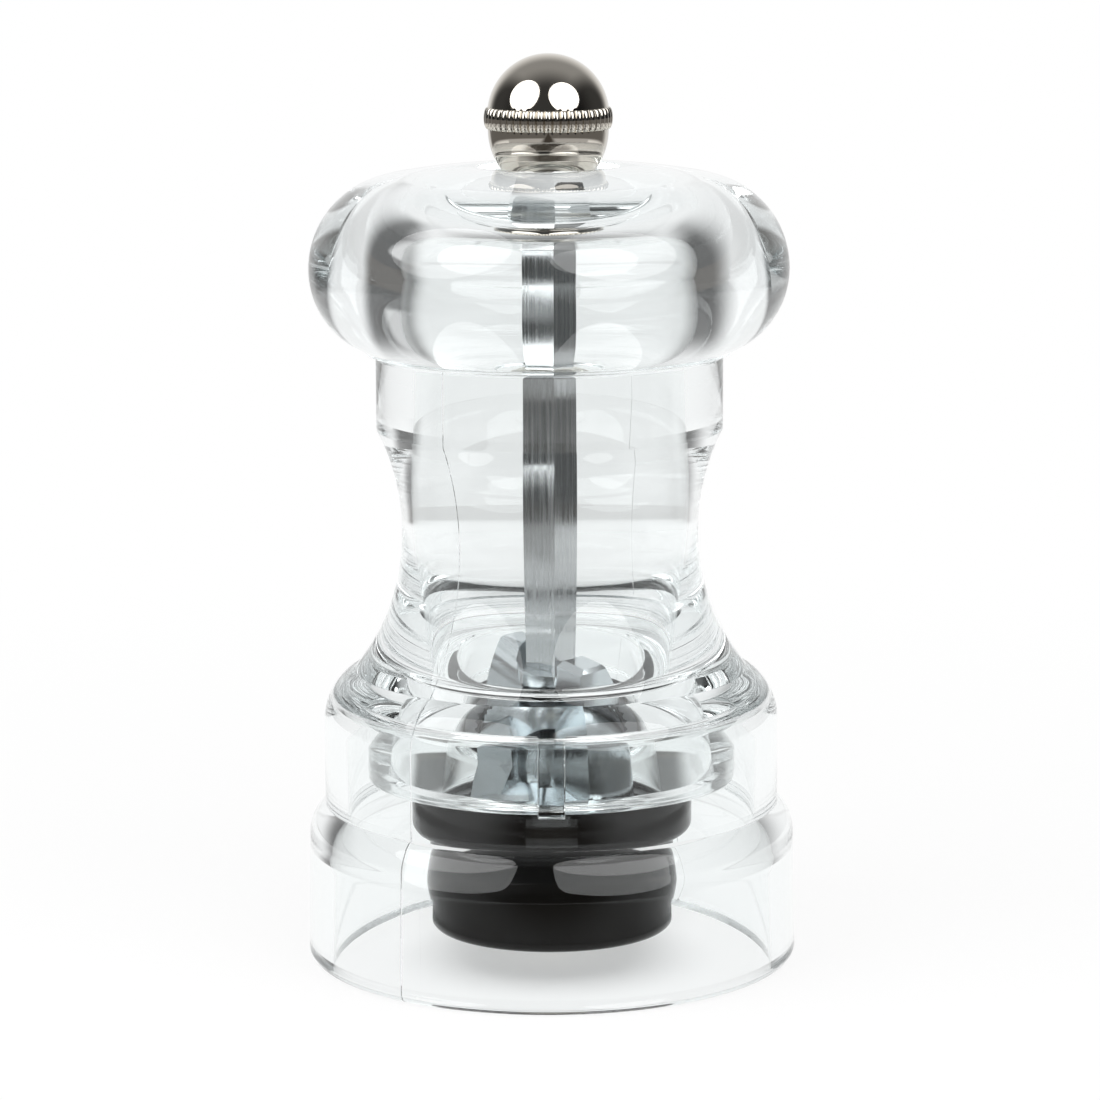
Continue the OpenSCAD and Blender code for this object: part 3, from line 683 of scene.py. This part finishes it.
# Painted shade: a darker ring of the table 0.38 to 0.5 m out, where the sheet folds up, seen only in
# mirror and refracted rays.
shade = add(tree, "ShaderNodeMapRange", {"Value": far, "From Min": 0.38, "From Max": 0.5,
                                         "To Min": 0.0, "To Max": 0.2},
                                         interpolation_type="SMOOTHSTEP")
painted_dark_share = add(tree, "ShaderNodeMath", {0: front.outputs["Result"], 1: beyond.outputs[0]},
                operation="MAXIMUM")
painted_dark_share = add(tree, "ShaderNodeMath", {0: painted_dark_share.outputs[0], 1: shade.outputs[0]},
                operation="MAXIMUM")
glow = add(tree, "ShaderNodeEmission", {"Color": (1.0, 1.0, 1.0, 1.0), "Strength": 1.0})
matt = add(tree, "ShaderNodeBsdfDiffuse", {"Color": paint("#f6f6f6")})
# The flat dark colour painted in those places, standing in for the unlit room; only mirror and refracted
# rays see it.
painted_dark_room = add(tree, "ShaderNodeEmission", {"Color": paint("#4a4540"), "Strength": 1.0})
plain = add(tree, "ShaderNodeMixShader", {0: lit.outputs[0], 1: matt.outputs[0],
                                          2: glow.outputs[0]})
seen = add(tree, "ShaderNodeMixShader", {0: painted_dark_share.outputs[0], 1: plain.outputs[0],
                                         2: painted_dark_room.outputs[0]})
both = add(tree, "ShaderNodeMixShader", {0: ray["Is Camera Ray"], 1: seen.outputs[0],
                                         2: plain.outputs[0]})
add(tree, "ShaderNodeOutputMaterial", {"Surface": both.outputs[0]})
table.data.materials.append(table_sheet)

# Two round softboxes stand in front of the mill and above it, one on each side.
SOFTBOX_SIZE = 0.62
SOFTBOX_AWAY = 0.6
SOFTBOX_RADIANCE = 2.0
for side, azimuth, elevation in (("left", -56, 37), ("right", 36, 37)):
    lamp = bpy.data.lights.new("softbox_" + side, "AREA")
    lamp.shape = "DISK"
    lamp.size = SOFTBOX_SIZE
    lamp.energy = 4 * SOFTBOX_RADIANCE * math.pi * lamp.size ** 2 / 4
    box = bpy.data.objects.new("softbox_" + side, lamp)
    bpy.context.scene.collection.objects.link(box)
    a, e = math.radians(azimuth), math.radians(elevation)
    way = Vector((math.sin(a) * math.cos(e), -math.cos(a) * math.cos(e), math.sin(e)))
    box.location = Vector((0, 0, 0.06)) + way * SOFTBOX_AWAY
    box.rotation_mode = "QUATERNION"
    box.rotation_quaternion = way.to_track_quat("Z", "Y")

# The camera looks slightly down on the mill.
CAMERA_TILT = 10.12
camera = bpy.data.objects.new("camera", bpy.data.cameras.new("camera"))
bpy.context.scene.collection.objects.link(camera)
camera.data.sensor_width = 36
camera.data.lens = 136.3
camera.location = (0, -0.4617, 0.1288)
camera.rotation_euler = (math.radians(90 - CAMERA_TILT), math.radians(0.27), math.radians(-0.044))
bpy.context.scene.camera = camera
bpy.context.scene.view_settings.view_transform = "Standard"
bpy.context.scene.cycles.max_bounces = 40
bpy.context.scene.cycles.transmission_bounces = 40
bpy.context.scene.cycles.glossy_bounces = 24
